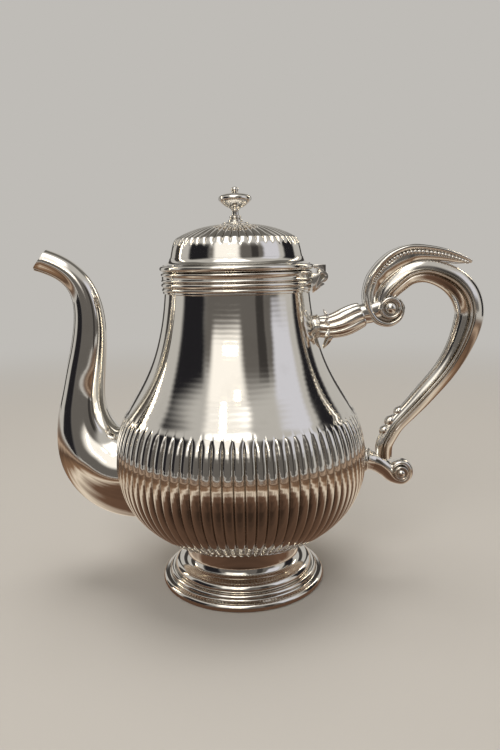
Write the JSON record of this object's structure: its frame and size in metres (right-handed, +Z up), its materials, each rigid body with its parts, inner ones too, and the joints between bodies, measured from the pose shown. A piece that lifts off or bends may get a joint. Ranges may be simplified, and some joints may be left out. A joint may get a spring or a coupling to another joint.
{
  "type": "silver coffee pot",
  "caption": "Silver coffee pot: pear-shaped fluted body on a spun foot, swan-neck spout, C-scroll handle with an acanthus leaf, and a hinged fluted dome lid with a knob.",
  "frame": {"origin": "centre of the foot's resting face, on the body's axis", "axes": "+X towards the handle and the hinge, -X towards the spout, +Z up"},
  "size_m": [0.2516, 0.1436, 0.2252],
  "materials": {
    "silver_sheet": "polished silver with a light tarnish in the grooves",
    "silver_trim": "bright polished silver",
    "silver_cast": "polished cast silver, darkened in its hollows",
    "nickel": "turned nickel silver"
  },
  "bodies": {
    "pot": {"bowl": "silver_sheet", "upper_body": "silver_sheet", "neck_moulding": "silver_trim", "rim_band": "silver_trim", "foot": "silver_sheet", "foot_wire": "silver_trim", "spout": "silver_sheet", "upper_collar": "silver_trim", "upper_socket": "silver_cast", "calyx": "silver_cast", "handle": "silver_cast", "handle_leaf": "silver_cast", "scroll_bosses": "silver_cast", "lower_collar": "silver_trim", "lower_socket": "silver_cast", "tail_bosses": "silver_cast", "tail_leaf": "silver_cast", "hinge_bracket": "silver_cast", "hinge_pin": "nickel"},
    "lid": {"hinge_strap": "silver_cast", "lid_rim": "silver_trim", "lid_bezel": "silver_sheet", "lid_flare": "silver_sheet", "lid_shoulder": "silver_sheet", "lid_crown": "silver_sheet", "knob_base": "silver_trim", "knob": "silver_cast", "knob_stud": "nickel", "knob_nut": "nickel"}
  },
  "joints": [
    {"name": "lid_hinge", "type": "hinge", "parent": "pot", "child": "lid", "pos_m": [0.0468, 0, 0.1762], "axis": [0, 1, 0], "range_deg": [0, 90]}
  ]
}
